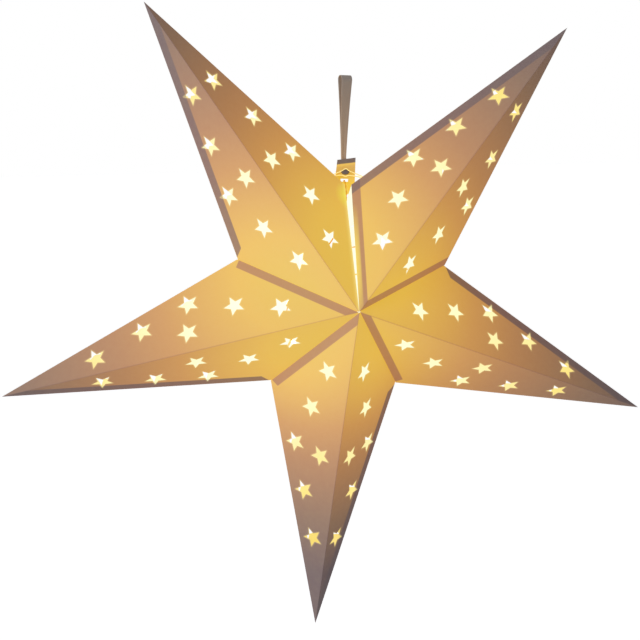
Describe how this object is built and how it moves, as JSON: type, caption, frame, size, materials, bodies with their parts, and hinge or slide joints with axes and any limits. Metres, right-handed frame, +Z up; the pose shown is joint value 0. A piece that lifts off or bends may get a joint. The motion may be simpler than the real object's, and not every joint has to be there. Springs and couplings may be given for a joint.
{
  "type": "paper star lantern",
  "caption": "Folded card star lantern with pointed arms and star-shaped cut-outs, hung from a ribbon and lit by a short lamp string.",
  "frame": {"origin": "the place on the inside of the ribbon loop where a hook bears, so the lantern hangs straight below it", "axes": "+Z up, +X to the right and -Y towards the viewer, as the lantern hangs with its front facing the viewer"},
  "size_m": [0.5954, 0.155, 0.5766],
  "materials": {
    "card": "white uncoated card that glows warm yellow from the lamps inside",
    "ribbon": "woven grey-brown tape, matt",
    "thread": "twisted white cotton",
    "lamp_wire": "enamelled copper wire, satin",
    "lamp_bead": "clear resin drop round a lit lamp",
    "case_plastic": "moulded white plastic, fine matt",
    "cell_steel": "bright rolled steel"
  },
  "bodies": {
    "root": {"point_bottom": "card", "point_right": "card", "point_top_right": "card", "point_top_left": "card", "point_left": "card", "hanging_tab": "card", "hanging_ribbon": "ribbon", "closing_thread": "thread", "lamp_lead": "lamp_wire", "lamp_beads": "lamp_bead", "battery_case": "case_plastic", "battery_lid": "case_plastic", "battery_cell_1": "cell_steel", "battery_cell_2": "cell_steel"}
  },
  "joints": []
}
